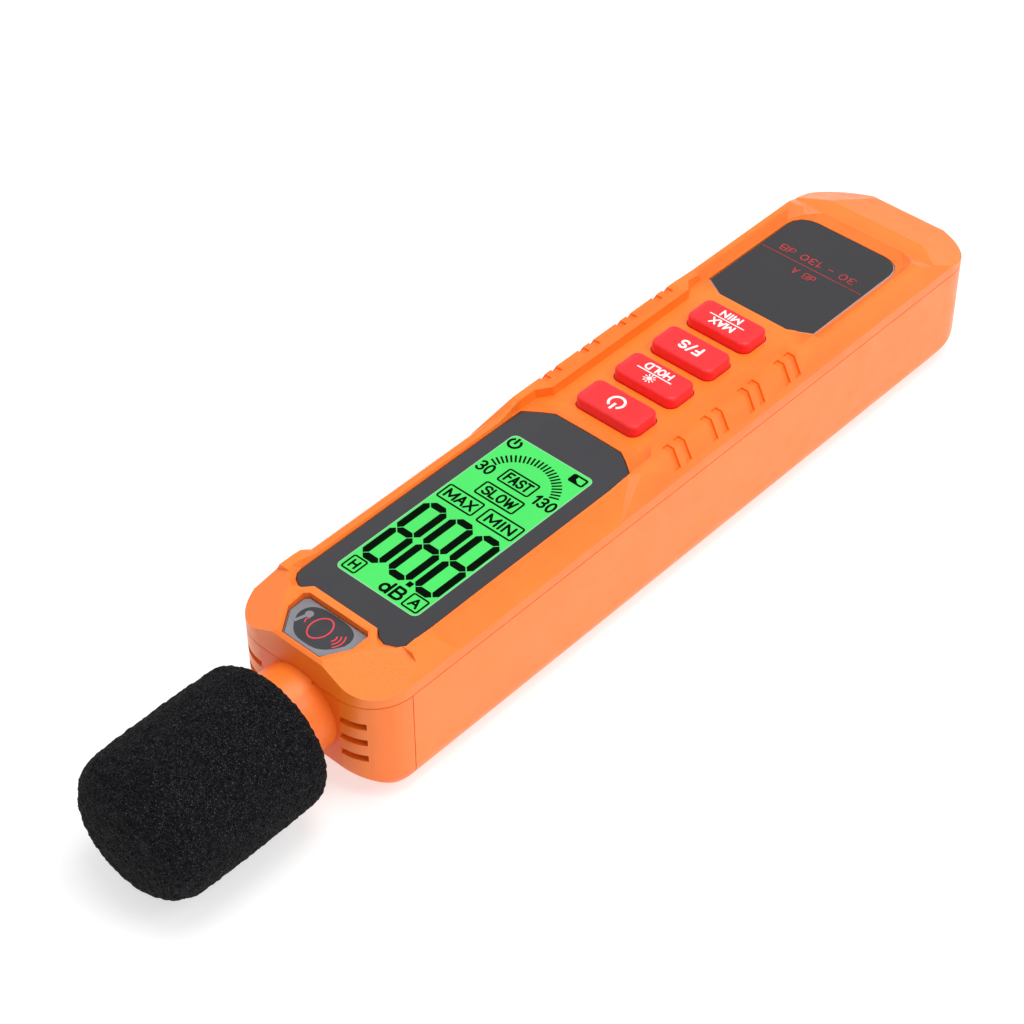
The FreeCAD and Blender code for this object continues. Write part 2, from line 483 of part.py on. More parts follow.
def spring(x, y0, y1, flip):
    h = Part.makeHelix((y1 - y0 - 0.6) / 4.0, y1 - y0 - 0.6, 2.6)
    prof = Part.Wire([Part.makeCircle(0.3, V(2.6, 0, 0), V(0, 1, 0))])
    sp = Part.Wire(h.Edges).makePipeShell([prof], True, True)
    sp.rotate(V(0, 0, 0), V(1, 0, 0), -90)
    sp.translate(V(x, y0 + 0.3, CZ))
    return sp


save("battery_springs", [spring(CX, 23.4, 28.6, False), spring(-CX, 28.6 + AAA_L, 77.2, True)])
plates = [box(CX - 4.2, CX + 4.2, 23.0, 23.4, CZ - 4.0, CZ + 4.6), box(-CX - 4.2, -CX + 4.2, 77.2, 77.6, CZ - 4.0, CZ + 4.6),
          box(CX - 4.2, CX + 4.2, 28.6 + AAA_L, 77.6, CZ - 2.2, CZ + 2.2).cut(box(CX - 5, CX + 5, 28.6 + AAA_L + 0.4, 77.2, CZ - 1.8, CZ + 1.8)),
          box(-CX - 4.2, -CX + 4.2, 23.0, 28.6, CZ - 2.2, CZ + 2.2).cut(box(-CX - 5, -CX + 5, 23.4, 28.2, CZ - 1.8, CZ + 1.8))]
save("battery_contacts", plates)

# ---------------------------------------------------------------- case screws
cs = []
for sx, sy in SCREWS:
    z0 = (0.0 if sy < 0 else 2.3) + 2.2
    zt = 22.8 if sy < 0 else 21.8
    c = cyl_z(sx, sy, 1.95, z0, z0 + 2.0).fuse(cyl_z(sx, sy, 1.0, z0 + 1.9, zt))
    c = c.cut(box(sx - 1.4, sx + 1.4, sy - 0.25, sy + 0.25, z0 - 0.1, z0 + 0.9)).cut(
        box(sx - 0.25, sx + 0.25, sy - 1.4, sy + 1.4, z0 - 0.1, z0 + 0.9))
    cs.append(c)
save("case_screws", cs)
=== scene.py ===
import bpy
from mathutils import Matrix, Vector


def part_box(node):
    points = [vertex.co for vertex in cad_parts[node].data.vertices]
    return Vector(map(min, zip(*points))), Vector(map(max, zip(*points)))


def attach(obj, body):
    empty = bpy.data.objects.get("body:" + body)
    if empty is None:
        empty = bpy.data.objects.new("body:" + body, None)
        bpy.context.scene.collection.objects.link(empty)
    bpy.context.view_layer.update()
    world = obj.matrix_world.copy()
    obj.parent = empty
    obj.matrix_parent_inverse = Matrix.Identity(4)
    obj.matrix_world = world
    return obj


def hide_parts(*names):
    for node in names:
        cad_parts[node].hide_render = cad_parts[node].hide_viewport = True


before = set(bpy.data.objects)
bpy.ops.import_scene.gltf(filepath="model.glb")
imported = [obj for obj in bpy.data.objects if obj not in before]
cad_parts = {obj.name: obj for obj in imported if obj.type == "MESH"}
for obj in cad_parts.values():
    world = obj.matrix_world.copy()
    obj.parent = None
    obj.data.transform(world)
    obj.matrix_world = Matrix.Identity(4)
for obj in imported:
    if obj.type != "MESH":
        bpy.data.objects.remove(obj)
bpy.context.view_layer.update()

import math
import bpy
import bmesh
import numpy as np
from mathutils import Matrix, Vector

MM = 0.001
D = bpy.data
scene = bpy.context.scene
scene.view_settings.view_transform = "Standard"

# ------------------------------------------------------------------ heights of the printed surfaces (mm)
LENS_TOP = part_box("display_lens")[1][2] * 1000
LABEL_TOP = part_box("nameplate")[1][2] * 1000
BADGE_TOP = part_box("badge_plate")[1][2] * 1000
KEY_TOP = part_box("key_power")[1][2] * 1000
KEYS = [("key_power", 15.0), ("key_hold", 25.2), ("key_fast_slow", 35.4), ("key_max_min", 45.6)]


# ------------------------------------------------------------------ materials
def srgb(r, g, b):
    def f(c):
        c /= 255.0
        return c / 12.92 if c <= 0.04045 else ((c + 0.055) / 1.055) ** 2.4
    return (f(r), f(g), f(b), 1.0)


class Mat:
    def __init__(self, name, color, rough=0.5, metal=0.0, **kw):
        self.m = D.materials.new(name)
        self.m.use_nodes = True
        self.nt = self.m.node_tree
        self.b = self.nt.nodes["Principled BSDF"]
        self.b.inputs["Base Color"].default_value = color
        self.b.inputs["Roughness"].default_value = rough
        self.b.inputs["Metallic"].default_value = metal
        for k, v in kw.items():
            self.b.inputs[k.replace("_", " ")].default_value = v
        self.tc = self.nt.nodes.new("ShaderNodeTexCoord")

    def node(self, kind, **kw):
        n = self.nt.nodes.new(kind)
        for k, v in kw.items():
            if k in n.inputs:
                n.inputs[k].default_value = v
            else:
                setattr(n, k, v)
        return n

    def link(self, a, b):
        self.nt.links.new(a, b)

    def noise(self, scale, detail=3.0, rough=0.55, stretch=None):
        n = self.node("ShaderNodeTexNoise")
        n.inputs["Scale"].default_value = scale
        n.inputs["Detail"].default_value = detail
        n.inputs["Roughness"].default_value = rough
        if stretch:
            mp = self.node("ShaderNodeMapping")
            mp.inputs["Scale"].default_value = stretch
            self.link(self.tc.outputs["Object"], mp.inputs["Vector"])
            self.link(mp.outputs["Vector"], n.inputs["Vector"])
        else:
            self.link(self.tc.outputs["Object"], n.inputs["Vector"])
        return n.outputs["Fac"]

    def voronoi(self, scale, feature="F1", randomness=1.0, out="Distance"):
        n = self.node("ShaderNodeTexVoronoi")
        n.feature = feature
        n.inputs["Scale"].default_value = scale
        n.inputs["Randomness"].default_value = randomness
        self.link(self.tc.outputs["Object"], n.inputs["Vector"])
        return n.outputs[out]

    def remap(self, fac, a, b, lo, hi):
        n = self.node("ShaderNodeMapRange")
        n.inputs["From Min"].default_value = a
        n.inputs["From Max"].default_value = b
        n.inputs["To Min"].default_value = lo
        n.inputs["To Max"].default_value = hi
        self.link(fac, n.inputs["Value"])
        return n.outputs["Result"]

    def mixc(self, fac, c1, c2):
        n = self.node("ShaderNodeMix")
        n.data_type = "RGBA"
        self.link(fac, n.inputs[0])
        if hasattr(c1, "links"):
            self.link(c1, n.inputs[6])
        else:
            n.inputs[6].default_value = c1
        if hasattr(c2, "links"):
            self.link(c2, n.inputs[7])
        else:
            n.inputs[7].default_value = c2
        return n.outputs[2]

    def rough(self, fac, lo, hi, a=0.3, b=0.7):
        self.link(self.remap(fac, a, b, lo, hi), self.b.inputs["Roughness"])

    def bumps(self, *layers):
        """layers are (height, strength, distance in metres), stacked."""
        prev = None
        for h, s, d in layers:
            n = self.node("ShaderNodeBump")
            n.inputs["Strength"].default_value = s
            n.inputs["Distance"].default_value = d
            self.link(h, n.inputs["Height"])
            if prev is not None:
                self.link(prev, n.inputs["Normal"])
            prev = n.outputs["Normal"]
        self.link(prev, self.b.inputs["Normal"])


# Painted highlight: a pointiness mask of convex edges, used to lighten the colour there as a stand-in for the
# highlight lines on rounded edges
def painted_edge_highlight(m, lo=0.505, hi=0.56):
    g = m.node("ShaderNodeNewGeometry")
    return m.remap(g.outputs["Pointiness"], lo, hi, 0.0, 1.0)


def make_orange():
    m = Mat("orange_moulded_plastic", srgb(255, 112, 10), 0.36)
    m.b.inputs["Specular IOR Level"].default_value = 0.5
    m.b.inputs["Coat Weight"].default_value = 0.12
    m.b.inputs["Coat Roughness"].default_value = 0.3
    big = m.noise(55.0, 3.0)
    mid = m.noise(420.0, 4.0)
    c = m.mixc(m.remap(big, 0.3, 0.7, 0.0, 1.0), srgb(255, 108, 8), srgb(255, 117, 18))
    c = m.mixc(m.remap(mid, 0.35, 0.75, 0.0, 0.35), c, srgb(255, 123, 28))
    # painted highlight: convex edges lightened towards (255,140,46)
    c = m.mixc(m.remap(painted_edge_highlight(m), 0.0, 1.0, 0.0, 0.45), c, srgb(255, 140, 46))
    m.link(c, m.b.inputs["Base Color"])
    grain = m.noise(3600.0, 2.0, 0.6)
    m.rough(m.noise(260.0, 4.0), 0.3, 0.46)
    m.bumps((grain, 0.42, 0.00012), (mid, 0.05, 0.0002))
    return m.m


def make_red():
    m = Mat("red_silicone", srgb(244, 16, 26), 0.4)
    m.b.inputs["Subsurface Weight"].default_value = 0.15
    m.b.inputs["Subsurface Radius"].default_value = (1.0, 0.12, 0.1)
    m.b.inputs["Subsurface Scale"].default_value = 0.001
    m.b.inputs["Sheen Weight"].default_value = 0.12
    m.b.inputs["Sheen Roughness"].default_value = 0.5
    mid = m.noise(300.0, 4.0)
    c = m.mixc(m.remap(mid, 0.3, 0.7, 0.0, 1.0), srgb(240, 14, 24), srgb(248, 26, 36))
    # painted highlight: convex edges of the keys lightened towards (255,70,78)
    c = m.mixc(m.remap(painted_edge_highlight(m), 0.0, 1.0, 0.0, 0.3), c, srgb(255, 70, 78))
    m.link(c, m.b.inputs["Base Color"])
    m.rough(m.noise(700.0, 3.0), 0.38, 0.52)
    m.bumps((m.noise(2400.0, 3.0), 0.16, 0.00008))
    return m.m


def make_lens(name="smoked_acrylic", base=(47, 46, 51), rough=(0.10, 0.2)):
    m = Mat(name, srgb(*base), rough[0])
    m.b.inputs["Coat Weight"].default_value = 0.3
    m.b.inputs["Coat Roughness"].default_value = 0.06
    smear = m.noise(60.0, 5.0, 0.6, (1.0, 0.35, 1.0))
    m.rough(smear, rough[0], rough[1])
    c = m.mixc(m.remap(smear, 0.35, 0.7, 0.0, 1.0), srgb(*base), srgb(*[min(255, v + 6) for v in base]))
    m.link(c, m.b.inputs["Base Color"])
    m.bumps((m.noise(900.0, 2.0), 0.02, 0.00005))
    return m.m


def make_label():
    m = Mat("printed_label", srgb(36, 36, 40), 0.3)
    m.b.inputs["Coat Weight"].default_value = 0.25
    m.b.inputs["Coat Roughness"].default_value = 0.2
    # Painted highlight: faces sloping about 22 to 78 degrees from flat (fully from 37 to 66 degrees) get a light warm
    # grey (176,166,162) in place of the light caught on those slopes
    g = m.node("ShaderNodeNewGeometry")
    sep = m.node("ShaderNodeSeparateXYZ")
    m.link(g.outputs["True Normal"], sep.inputs[0])
    edge = m.remap(sep.outputs["Z"], 0.93, 0.80, 0.0, 1.0)
    side = m.remap(sep.outputs["Z"], 0.4, 0.2, 1.0, 0.0)
    mul = m.node("ShaderNodeMath", operation="MULTIPLY")
    m.link(edge, mul.inputs[0])
    m.link(side, mul.inputs[1])
    speck = m.voronoi(900.0)
    c = m.mixc(m.remap(speck, 0.05, 0.0, 0.0, 0.35), srgb(38, 37, 41), srgb(120, 120, 126))
    c = m.mixc(mul.outputs[0], c, srgb(176, 166, 162))
    m.link(c, m.b.inputs["Base Color"])
    m.rough(m.noise(140.0, 4.0), 0.26, 0.4)
    m.bumps((m.noise(2600.0, 2.0), 0.06, 0.00005))
    return m.m


def make_metal(name, col, rough, bump=0.05, stretch=(1, 1, 1)):
    m = Mat(name, srgb(*col), rough, 1.0)
    b = m.noise(1400.0, 4.0, 0.6, stretch)
    m.rough(b, rough * 0.75, rough * 1.35)
    c = m.mixc(m.remap(m.noise(160.0, 4.0), 0.3, 0.7, 0, 1), srgb(*col), srgb(*[int(v * 0.9) for v in col]))
    m.link(c, m.b.inputs["Base Color"])
    m.bumps((b, bump, 0.0001))
    return m.m


def make_plain(name, col, rough, grain=1600.0, bump=0.1, var=0.08, **kw):
    m = Mat(name, srgb(*col), rough, **kw)
    a = m.noise(200.0, 4.0)
    c = m.mixc(m.remap(a, 0.3, 0.7, 0.0, 1.0), srgb(*[int(v * (1 - var)) for v in col]), srgb(*[min(255, int(v * (1 + var) + 1)) for v in col]))
    m.link(c, m.b.inputs["Base Color"])
    m.rough(m.noise(500.0, 3.0), rough * 0.85, min(1.0, rough * 1.15))
    m.bumps((m.noise(grain, 3.0), bump, 0.0001))
    return m.m


def make_foam():
    m = Mat("open_cell_foam", srgb(14, 14, 16), 0.9)
    m.b.inputs["Specular IOR Level"].default_value = 0.14
    m.b.inputs["Sheen Weight"].default_value = 0.0
    cell = m.voronoi(2300.0, "F1")
    fine = m.noise(5200.0, 3.0, 0.7)
    mott = m.noise(900.0, 4.0, 0.7)
    wall = m.remap(cell, 0.34, 0.60, 0.0, 1.0)
    c = m.mixc(wall, srgb(0, 0, 1), srgb(22, 22, 25))
    c = m.mixc(m.remap(fine, 0.50, 0.64, 0.0, 0.8), c, srgb(44, 44, 49))
    c = m.mixc(m.remap(mott, 0.42, 0.60, 0.7, 0.0), c, srgb(2, 2, 3))
    c = m.mixc(m.remap(m.noise(5600.0, 1.0, 0.5), 0.62, 0.70, 0.0, 0.75), c, srgb(98, 98, 104))
    m.link(c, m.b.inputs["Base Color"])
    m.link(m.remap(fine, 0.4, 0.7, 0.98, 0.75), m.b.inputs["Roughness"])
    m.bumps((wall, 1.0, 0.0004), (fine, 0.7, 0.0003))
    return m.m


def make_emit(name, col, base, strength, rough=0.3):
    m = Mat(name, srgb(*base), rough)
    a = m.noise(60.0, 3.0)
    c = m.mixc(m.remap(a, 0.3, 0.7, 0.0, 1.0), srgb(*[int(v * 0.94) for v in base]), srgb(*base))
    m.link(c, m.b.inputs["Base Color"])
    m.link(m.mixc(m.remap(m.noise(90.0, 4.0), 0.3, 0.7, 0.0, 1.0), srgb(*[int(v * 0.97) for v in col]), srgb(*col)), m.b.inputs["Emission Color"])
    m.b.inputs["Emission Strength"].default_value = strength
    m.b.inputs["Coat Weight"].default_value = 0.2
    m.rough(m.noise(400.0, 3.0), rough * 0.8, rough * 1.2)
    return m.m


ORANGE = make_orange()
RED = make_red()
LENS_M = make_lens()
LABEL_M = make_label()
STEEL = make_metal("plated_steel", (186, 186, 190), 0.28)
BARREL = make_metal("satin_steel_barrel", (150, 150, 154), 0.3, 0.12, (0.15, 6.0, 0.15))
BLACKST = make_metal("black_oxide_steel", (38, 38, 42), 0.42)
ALU = make_metal("satin_aluminium", (205, 206, 210), 0.34)
BOARD = make_plain("solder_mask_green", (10, 92, 48), 0.35, 900.0, 0.12, 0.2)
WHITE = make_plain("white_moulding", (222, 222, 216), 0.5)
BLACKP = make_plain("black_moulding", (22, 22, 24), 0.5)
GREYR = make_plain("grey_elastomer", (66, 66, 70), 0.7)
LEAD = make_plain("lead_insulation", (150, 16, 18), 0.5)
CELL = make_plain("cell_jacket_print", (26, 30, 40), 0.28, 500.0, 0.04, 0.25)
FOAM = make_foam()
GREEN = make_emit("lit_lcd_green", (60, 236, 96), (40, 96, 48), 0.92)
PALE = make_emit("lcd_pale_border", (140, 218, 156), (70, 110, 76), 0.85)
GLASSM = make_emit("lcd_glass_edge", (90, 190, 110), (120, 150, 124), 0.15)
SEG = make_plain("lcd_segment_dark", (1, 14, 3), 0.8, 1500.0, 0.02, 0.1)
SEG.node_tree.nodes["Principled BSDF"].inputs["Specular IOR Level"].default_value = 0.04
INK = make_plain("legend_white_ink", (246, 244, 244), 0.45, 2600.0, 0.1, 0.03)
RINK = make_plain("label_red_ink", (176, 44, 50), 0.45, 2600.0, 0.1, 0.12)
RINK2 = make_plain("badge_red_ink", (226, 60, 72), 0.4, 2600.0, 0.1, 0.08)
GREYINK = make_plain("badge_grey_ink", (128, 129, 136), 0.35, 1800.0, 0.05, 0.05)
DARKINK = make_plain("badge_dark_ink", (52, 53, 58), 0.3, 1800.0, 0.05, 0.06)

USE = {"front_shell": ORANGE, "rear_shell": ORANGE, "nose_cap": ORANGE, "battery_door": ORANGE, "display_lens": LENS_M,
       "nameplate": LABEL_M, "badge_plate": LABEL_M, "lcd_glass": GLASSM, "backlight_panel": GREEN, "display_holder": WHITE,
       "lcd_connector": GREYR, "key_power": RED, "key_hold": RED, "key_fast_slow": RED, "key_max_min": RED,
       "keypad_frame": BLACKP, "dome_switches": STEEL, "main_board": BOARD, "board_components": BLACKP,
       "quartz_crystal": STEEL, "board_screws": STEEL, "mic_barrel": BARREL, "mic_capsule": ALU, "mic_gasket": GREYR,
       "mic_grille": BLACKST, "mic_leads": LEAD, "battery_cell_1": CELL, "battery_cell_2": CELL,
       "battery_springs": STEEL, "battery_contacts": STEEL, "case_screws": BLACKST}
for n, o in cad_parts.items():
    if n in USE:
        o.data.materials.clear()
        o.data.materials.append(USE[n])


# ------------------------------------------------------------------ mesh helpers (all lengths in mm until the end)
def mesh_obj(name, verts, faces, mat, body, smooth=False):
    me = D.meshes.new(name)
    me.from_pydata([(x * MM, y * MM, z * MM) for x, y, z in verts], [], faces)
    me.validate()
    me.update()
    o = D.objects.new(name, me)
    scene.collection.objects.link(o)
    me.materials.append(mat)
    if smooth:
        me.polygons.foreach_set("use_smooth", [True] * len(me.polygons))
    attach(o, body)
    return o


def ring_pts(cx, cy, rx, ry, a0, a1, n):
    return [(cx + rx * math.cos(math.radians(a0 + (a1 - a0) * i / n)), cy + ry * math.sin(math.radians(a0 + (a1 - a0) * i / n)))
            for i in range(n + 1)]


GLYPH_W = {"I": 0.12, "1": 0.34, "M": 0.95, "W": 1.05, "/": 0.42, "-": 0.5, " ": 0.3, "F": 0.6, "L": 0.6, "d": 0.62}
GLYPH = {
    "A": [[(0, 0), (0.5, 1), (1, 0)], [(0.2, 0.34), (0.8, 0.34)]],
    "B": [[(0, 0), (0, 1), (0.62, 1)] + ring_pts(0.62, 0.77, 0.26, 0.23, 90, -90, 6) + [(0, 0.54)],
          [(0.62, 0.54)] + ring_pts(0.66, 0.27, 0.34, 0.27, 90, -90, 6) + [(0, 0)]],
    "D": [[(0, 0), (0, 1), (0.45, 1)] + ring_pts(0.45, 0.5, 0.55, 0.5, 90, -90, 10) + [(0, 0)]],
    "F": [[(0, 0), (0, 1), (1, 1)], [(0, 0.54), (0.84, 0.54)]],
    "H": [[(0, 0), (0, 1)], [(1, 0), (1, 1)], [(0, 0.52), (1, 0.52)]],
    "I": [[(0.5, 0), (0.5, 1)]],
    "L": [[(0, 1), (0, 0), (1, 0)]],
    "M": [[(0, 0), (0, 1), (0.5, 0.18), (1, 1), (1, 0)]],
    "N": [[(0, 0), (0, 1), (1, 0), (1, 1)]],
    "O": [ring_pts(0.5, 0.5, 0.5, 0.5, 0, 360, 20)],
    "S": [ring_pts(0.5, 0.76, 0.46, 0.24, 20, 270, 10) + ring_pts(0.5, 0.26, 0.5, 0.26, 90, -160, 10)],
    "T": [[(0, 1), (1, 1)], [(0.5, 1), (0.5, 0)]],
    "W": [[(0, 1), (0.26, 0), (0.5, 0.86), (0.74, 0), (1, 1)]],
    "X": [[(0, 0), (1, 1)], [(0, 1), (1, 0)]],
    "d": [ring_pts(0.46, 0.32, 0.46, 0.32, 0, 360, 16), [(1, 0), (1, 1)]],
    "0": [ring_pts(0.5, 0.5, 0.5, 0.5, 0, 360, 20)],
    "1": [[(0, 0.74), (1, 1), (1, 0)]],
    "3": [ring_pts(0.48, 0.75, 0.46, 0.25, 150, -90, 10) + [(0.36, 0.5)], [(0.36, 0.5), (0.48, 0.5)] + ring_pts(0.48, 0.26, 0.5, 0.26, 90, -155, 10)],
    "/": [[(0, -0.04), (1, 1.04)]],
    "-": [[(0, 0.45), (1, 0.45)]],
}


class Ink:
    """Collects thin raised prints on one surface; strokes are mitred bands, so nothing overlaps inside one stroke."""

    def __init__(self, z, t=0.03, frame2d=None):
        self.v, self.f, self.z, self.t, self.k = [], [], z, t, 0
        self.fr = frame2d or (lambda p: p)

    def heights(self):
        self.k = (self.k + 1) % 7
        return self.z - 0.001 * self.k, self.z + self.t + 0.002 * self.k

    def poly(self, pts):
        pts = [self.fr(p) for p in pts]
        a = sum(pts[i][0] * pts[(i + 1) % len(pts)][1] - pts[(i + 1) % len(pts)][0] * pts[i][1] for i in range(len(pts)))
        if a < 0:
            pts = pts[::-1]
        k, n = len(self.v), len(pts)
        z0, z1 = self.heights()
        self.v += [(x, y, z0) for x, y in pts] + [(x, y, z1) for x, y in pts]
        self.f.append(tuple(range(k + n, k + 2 * n)))
        self.f.append(tuple(range(k + n - 1, k - 1, -1)))
        for i in range(n):
            j = (i + 1) % n
            self.f.append((k + i, k + j, k + n + j, k + n + i))

    def band(self, left, right, closed):
        """Prism over the strip between two lines of equal count."""
        z0, z1 = self.heights()
        left, right = [self.fr(p) for p in left], [self.fr(p) for p in right]
        k, n = len(self.v), len(left)
        for z in (z0, z1):
            self.v += [(x, y, z) for x, y in left] + [(x, y, z) for x, y in right]
        l0, r0, l1, r1 = k, k + n, k + 2 * n, k + 3 * n
        for i in range(n if closed else n - 1):
            j = (i + 1) % n
            self.f += [(l1 + i, l1 + j, r1 + j, r1 + i), (r0 + i, r0 + j, l0 + j, l0 + i),
                       (l0 + i, l0 + j, l1 + j, l1 + i), (r1 + i, r1 + j, r0 + j, r0 + i)]
        if not closed:
            self.f += [(l0, l1, r1, r0), (r0 + n - 1, r1 + n - 1, l1 + n - 1, l0 + n - 1)]

    def stroke(self, pts, w, closed=False, round_ends=False):
        n = len(pts)
        left, right = [], []
        for i in range(n):
            a = pts[(i - 1) % n] if (closed or i > 0) else None
            c = pts[(i + 1) % n] if (closed or i < n - 1) else None
            d = []
            for u, v in ((a, pts[i]), (pts[i], c)):
                if u is not None and v is not None:
                    l = math.hypot(v[0] - u[0], v[1] - u[1])
                    d.append(((v[0] - u[0]) / l, (v[1] - u[1]) / l))
            tx, ty = sum(q[0] for q in d), sum(q[1] for q in d)
            l = math.hypot(tx, ty)
            tx, ty = tx / l, ty / l
            m = w / 2 / max(0.5, tx * d[0][0] + ty * d[0][1])
            left.append((pts[i][0] - ty * m, pts[i][1] + tx * m))
            right.append((pts[i][0] + ty * m, pts[i][1] - tx * m))
        if round_ends and not closed:
            def cap(p, q):
                """Shrinking pairs of points that round off the end at p, away from q."""
                l = math.hypot(p[0] - q[0], p[1] - q[1])
                ux, uy = (p[0] - q[0]) / l, (p[1] - q[1]) / l
                out = []
                for a in (24, 46, 66, 82):
                    r, h = w / 2 * math.cos(math.radians(a)), w / 2 * math.sin(math.radians(a))
                    out.append(((p[0] + ux * h - uy * r, p[1] + uy * h + ux * r), (p[0] + ux * h + uy * r, p[1] + uy * h - ux * r)))
                return out
            first, last = cap(pts[0], pts[1]), cap(pts[-1], pts[-2])
            left = [q[1] for q in first[::-1]] + left + [q[0] for q in last]
            right = [q[0] for q in first[::-1]] + right + [q[1] for q in last]
        self.band(left, right, closed)

    def line(self, p, q, w):
        if math.hypot(q[0] - p[0], q[1] - p[1]) > 1e-6:
            self.stroke([p, q], w)

    def rect(self, x0, y0, x1, y1):
        self.poly([(x0, y0), (x1, y0), (x1, y1), (x0, y1)])

    def strip(self, outer, inner):
        """Closed band between two rings of equal count."""
        self.band(outer, inner, True)

    def frame_box(self, x0, y0, x1, y1, w, r=0.35):
        o = rounded(x0, y0, x1, y1, r, 4)
        i = rounded(x0 + w, y0 + w, x1 - w, y1 - w, max(r - w, 0.08), 4)
        self.strip(o, i)

    def arc(self, cx, cy, r, w, a0, a1, n=36):
        self.stroke([(cx + r * math.cos(math.radians(a0 + (a1 - a0) * i / n)), cy + r * math.sin(math.radians(a0 + (a1 - a0) * i / n)))
                     for i in range(n + 1)], w)

    def disc(self, cx, cy, r, n=24):
        self.poly([(cx + r * math.cos(2 * math.pi * i / n), cy + r * math.sin(2 * math.pi * i / n)) for i in range(n)])

    def text(self, s, cx, cy, h, width, w=0.3, gap=0.22):
        """Stroke letters of cap height h in a line of the given width, centred on (cx, cy); w is the stroke."""
        adv = [GLYPH_W.get(ch, 0.72) for ch in s]
        total = sum(adv) + gap * (len(s) - 1)
        k = (width - w) / total
        x = cx - (width - w) / 2
        y = cy - (h - w) / 2
        for ch, a in zip(s, adv):
            for line in GLYPH.get(ch, []):
                q = []
                for px, py in line:
                    c = (x + px * a * k, y + py * (h - w))
                    if not q or math.hypot(c[0] - q[-1][0], c[1] - q[-1][1]) > 1e-4:
                        q.append(c)
                if len(q) > 3 and math.hypot(q[0][0] - q[-1][0], q[0][1] - q[-1][1]) < 1e-3:
                    q = q[:-1]
                    turn = [abs(math.atan2(*self.bend(q[i - 1], q[i], q[(i + 1) % len(q)]))) for i in range(len(q))]
                    if max(turn) < 0.9:
                        self.stroke(q, w, closed=True)
                        continue
                    q.append(q[0])
                run = [q[0]]
                for i in range(1, len(q)):
                    run.append(q[i])
                    if i < len(q) - 1 and abs(math.atan2(*self.bend(q[i - 1], q[i], q[i + 1]))) > 0.9:
                        self.stroke(run, w, round_ends=True)
                        run = [q[i]]
                self.stroke(run, w, round_ends=True)
            x += (a + gap) * k

    @staticmethod
    def bend(p, q, r):
        ux, uy, vx, vy = q[0] - p[0], q[1] - p[1], r[0] - q[0], r[1] - q[1]
        return ux * vy - uy * vx, ux * vx + uy * vy

    def done(self, name, mat, body):
        o = mesh_obj(name, self.v, self.f, mat, body)
        bm = bmesh.new()
        bm.from_mesh(o.data)
        bmesh.ops.recalc_face_normals(bm, faces=bm.faces)
        bm.to_mesh(o.data)
        bm.free()
        return o


def rounded(x0, y0, x1, y1, r, n=5):
    pts = []
    for cx, cy, a in ((x1 - r, y0 + r, -90), (x1 - r, y1 - r, 0), (x0 + r, y1 - r, 90), (x0 + r, y0 + r, 180)):
        for i in range(n + 1):
            t = math.radians(a + 90 * i / n)
            pts.append((cx + r * math.cos(t), cy + r * math.sin(t)))
    return pts


# ------------------------------------------------------------------ display picture
# u runs left to right (X), v runs up the picture (+Y), origin at the window's microphone-side left corner
LX0, LY0, LW, LH = -9.0, -45.1, 18.0, 43.7
zp = LENS_TOP + 0.012
ink = Ink(zp, 0.02)
ink.poly(rounded(LX0 - 0.22, LY0 - 0.22, LX0 + LW + 0.22, LY0 + LH + 0.22, 1.2, 6))
ink.done("lcd_window_border", PALE, "case")
ink = Ink(zp + 0.022, 0.02)
ink.poly(rounded(LX0, LY0, LX0 + LW, LY0 + LH, 1.0, 6))
ink.done("lcd_lit_window", GREEN, "case")
seg = Ink(zp + 0.050, 0.02, lambda p: (LX0 + p[0], LY0 + p[1]))


def digit(g, x, y, w, h, t, which="abcdefg", slant=0.0):
    """Seven bars with pointed ends in a w x h cell."""
    gap = 0.13

    def bar(a, b):
        dx, dy = b[0] - a[0], b[1] - a[1]
        l = math.hypot(dx, dy)
        ux, uy = dx / l, dy / l
        nx, ny = -uy * t / 2, ux * t / 2
        a = (a[0] + ux * gap, a[1] + uy * gap)
        b = (b[0] - ux * gap, b[1] - uy * gap)
        c = t / 2
        g.poly([a, (a[0] + ux * c + nx, a[1] + uy * c + ny), (b[0] - ux * c + nx, b[1] - uy * c + ny), b,
                (b[0] - ux * c - nx, b[1] - uy * c - ny), (a[0] + ux * c - nx, a[1] + uy * c - ny)])
    x0, x1, y0, ym, y1 = x + t / 2, x + w - t / 2, y + t / 2, y + h / 2, y + h - t / 2
    for k, a, b in (("a", (x0, y1), (x1, y1)), ("b", (x1, ym), (x1, y1)), ("c", (x1, y0), (x1, ym)), ("d", (x0, y0), (x1, y0)),
                    ("e", (x0, y0), (x0, ym)), ("f", (x0, ym), (x0, y1)), ("g", (x0, ym), (x1, ym))):
        if k in which:
            bar(a, b)


for i in range(3):
    digit(seg, 0.35 + i * 6.05, 4.2, 5.35, 17.8, 1.48)
seg.rect(11.7, 4.2, 12.75, 5.35)
seg.frame_box(0.5, 0.3, 3.75, 3.95, 0.34, 0.5)
seg.text("H", 2.12, 2.12, 2.1, 1.6, 0.42)
seg.text("dB", 11.1, 2.0, 3.1, 4.9, 0.55, 0.34)
seg.frame_box(14.1, 0.4, 17.75, 4.0, 0.34, 0.5)
seg.text("A", 15.92, 2.2, 2.2, 2.0, 0.42)
seg.frame_box(0.3, 23.2, 8.5, 27.2, 0.36, 0.55)
seg.text("MAX", 4.4, 25.2, 2.45, 6.5, 0.46, 0.26)
seg.frame_box(9.5, 23.1, 17.65, 27.15, 0.36, 0.55)
seg.text("MIN", 13.58, 25.12, 2.45, 6.0, 0.46, 0.32)
seg.frame_box(4.45, 28.1, 13.35, 31.85, 0.36, 0.55)
seg.text("SLOW", 8.9, 29.97, 2.4, 7.2, 0.44, 0.26)
seg.frame_box(5.2, 33.0, 12.4, 36.8, 0.36, 0.55)
seg.text("FAST", 8.8, 34.9, 2.45, 5.6, 0.44, 0.26)
seg.text("30", 1.95, 34.1, 2.75, 3.4, 0.46, 0.36)
seg.text("130", 15.6, 33.9, 2.75, 4.6, 0.46, 0.38)
